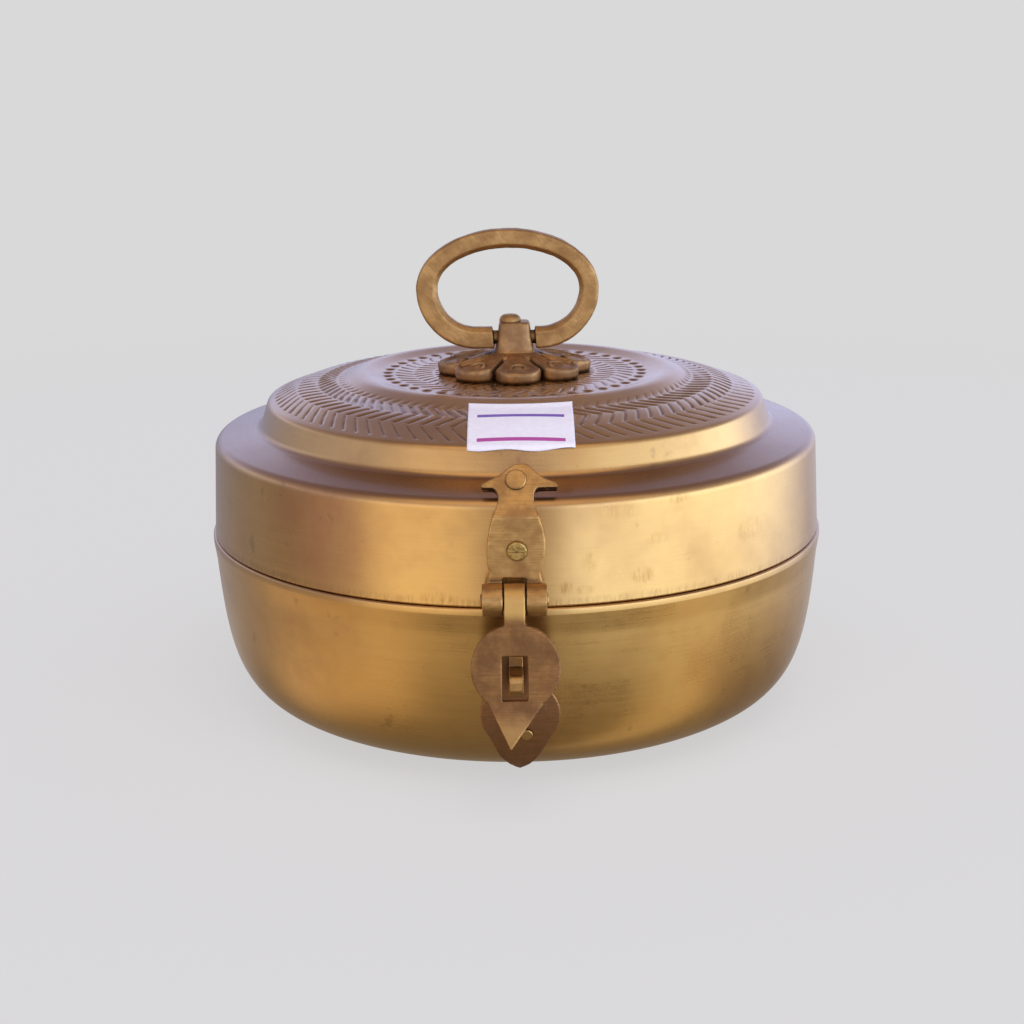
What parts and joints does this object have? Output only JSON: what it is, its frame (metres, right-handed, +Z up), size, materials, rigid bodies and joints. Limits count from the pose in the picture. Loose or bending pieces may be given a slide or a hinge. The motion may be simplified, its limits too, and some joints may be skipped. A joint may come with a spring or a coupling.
{
  "type": "tiffin carrier",
  "caption": "Round brass food box: spun bowl and stepped, embossed lid on a rear hinge, front hasp over a padlock eye, and a swinging ring handle on a flower base.",
  "frame": {"origin": "centre of the bowl's flat base, on the surface it stands on", "axes": "+Z up; the hasp faces -Y and the rear hinge is at +Y"},
  "size_m": [0.22, 0.2483, 0.1679],
  "materials": {
    "sheet_brass": "satin antique, brushed around the axis",
    "cast_brass": "brushed cast brass with brown patina",
    "bright_brass": "turned bright brass"
  },
  "bodies": {
    "bowl": {"bowl": "sheet_brass", "staple_plate": "cast_brass", "staple_eye": "cast_brass", "staple_rivet": "cast_brass", "hinge_leaf_bowl": "cast_brass", "hinge_rivets_bowl": "cast_brass", "hinge_pin": "cast_brass"},
    "lid": {"lid_shell": "sheet_brass", "hasp_plate": "cast_brass", "hasp_plate_screw": "bright_brass", "hasp_plate_washer": "bright_brass", "hasp_plate_nut": "bright_brass", "hasp_plate_rivet": "cast_brass", "hasp_pin": "cast_brass", "handle_flower": "cast_brass", "handle_stud": "cast_brass", "handle_washer": "bright_brass", "handle_nut": "bright_brass", "hinge_leaf_lid": "cast_brass", "hinge_rivets_lid": "cast_brass"},
    "handle": {"handle_ring": "cast_brass"},
    "hasp": {"hasp": "cast_brass"}
  },
  "joints": [
    {"name": "lid_hinge", "type": "hinge", "parent": "bowl", "child": "lid", "pos_m": [0, 0.115, 0.064], "axis": [-1, 0, 0], "range_deg": [0, 105]},
    {"name": "handle_swing", "type": "hinge", "parent": "lid", "child": "handle", "pos_m": [0, 0, 0.1294], "axis": [1, 0, 0], "range_deg": [-103, 103]},
    {"name": "hasp_swing", "type": "hinge", "parent": "lid", "child": "hasp", "pos_m": [0, -0.116, 0.068], "axis": [-1, 0, 0], "range_deg": [-22, 142]}
  ]
}
